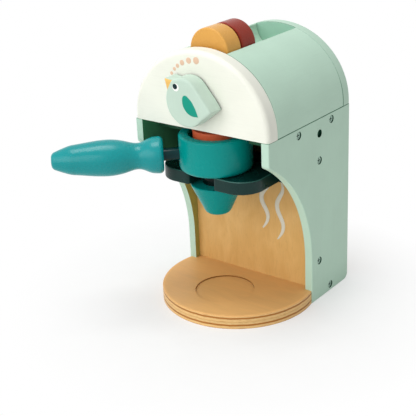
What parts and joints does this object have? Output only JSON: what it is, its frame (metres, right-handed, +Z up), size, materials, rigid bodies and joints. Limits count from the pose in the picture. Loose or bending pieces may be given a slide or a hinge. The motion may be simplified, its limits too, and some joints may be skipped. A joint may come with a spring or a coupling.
{
  "type": "toy coffee maker",
  "caption": "Wooden toy coffee machine with a portafilter that slides out and swivels, a turning bird-shaped knob and lift-out capsules over a round foot.",
  "frame": {"origin": "on the floor, under the upright axis that the portafilter swivels about", "axes": "+Z up, +X to the right seen from the front, +Y to the back"},
  "size_m": [0.181, 0.2032, 0.2557],
  "materials": {
    "plywood": "clear matt varnish",
    "bare_board": "clear matt varnish",
    "green_paint": "satin paint",
    "rear_paint": "satin paint",
    "white_paint": "satin paint",
    "dark_green_paint": "satin paint",
    "teal_paint": "satin paint",
    "black_paint": "gloss paint",
    "coral_paint": "satin paint",
    "mustard_paint": "satin paint",
    "burgundy_paint": "satin paint",
    "knob_paint": "satin paint",
    "beech": "bare",
    "screw_steel": "zinc plated",
    "felt": "felt"
  },
  "bodies": {
    "machine": {"base_board": "plywood", "left_side_panel": "green_paint", "right_side_panel": "green_paint", "back_board": "bare_board", "front_deck": "dark_green_paint", "rear_deck": "bare_board", "arch_body": "green_paint", "front_plate": "white_paint", "rear_plate": "rear_paint", "fork_board": "dark_green_paint", "left_side_screws": "screw_steel", "right_side_screws": "screw_steel", "deck_dowels": "beech", "front_plate_dowels": "beech", "rear_plate_dowels": "beech", "fork_dowels": "beech"},
    "neck": {"neck_collar": "black_paint"},
    "portafilter": {"filter_basket": "teal_paint", "basket_stem": "beech", "spout_cone": "teal_paint", "handle_rod": "black_paint", "handle_grip": "teal_paint"},
    "coral_pod": {"coral_capsule": "coral_paint"},
    "mustard_pod": {"mustard_capsule": "mustard_paint"},
    "burgundy_pod": {"burgundy_capsule": "burgundy_paint"},
    "knob": {"bird_knob": "knob_paint", "knob_shaft": "beech", "knob_retainer": "beech", "knob_washer": "felt"}
  },
  "joints": [
    {"name": "portafilter_slide", "type": "slide", "parent": "machine", "child": "neck", "axis": [0, -1, 0], "range_m": [0, 0.045]},
    {"name": "portafilter_swivel", "type": "hinge", "parent": "neck", "child": "portafilter", "pos_m": [0, 0, 0.1278], "axis": [0, 0, 1], "range_deg": [-8, 106]},
    {"name": "coral_capsule_lift", "type": "slide", "parent": "portafilter", "child": "coral_pod", "axis": [0, 0, 1], "range_m": [0, 0.003]},
    {"name": "mustard_capsule_lift", "type": "slide", "parent": "machine", "child": "mustard_pod", "axis": [0, 0, 1], "range_m": [0, 0.045]},
    {"name": "burgundy_capsule_lift", "type": "slide", "parent": "machine", "child": "burgundy_pod", "axis": [0, 0, 1], "range_m": [0, 0.045]},
    {"name": "knob_turn", "type": "hinge", "parent": "machine", "child": "knob", "pos_m": [0, -0.03, 0.2006], "axis": [0, 1, 0], "continuous": true}
  ]
}
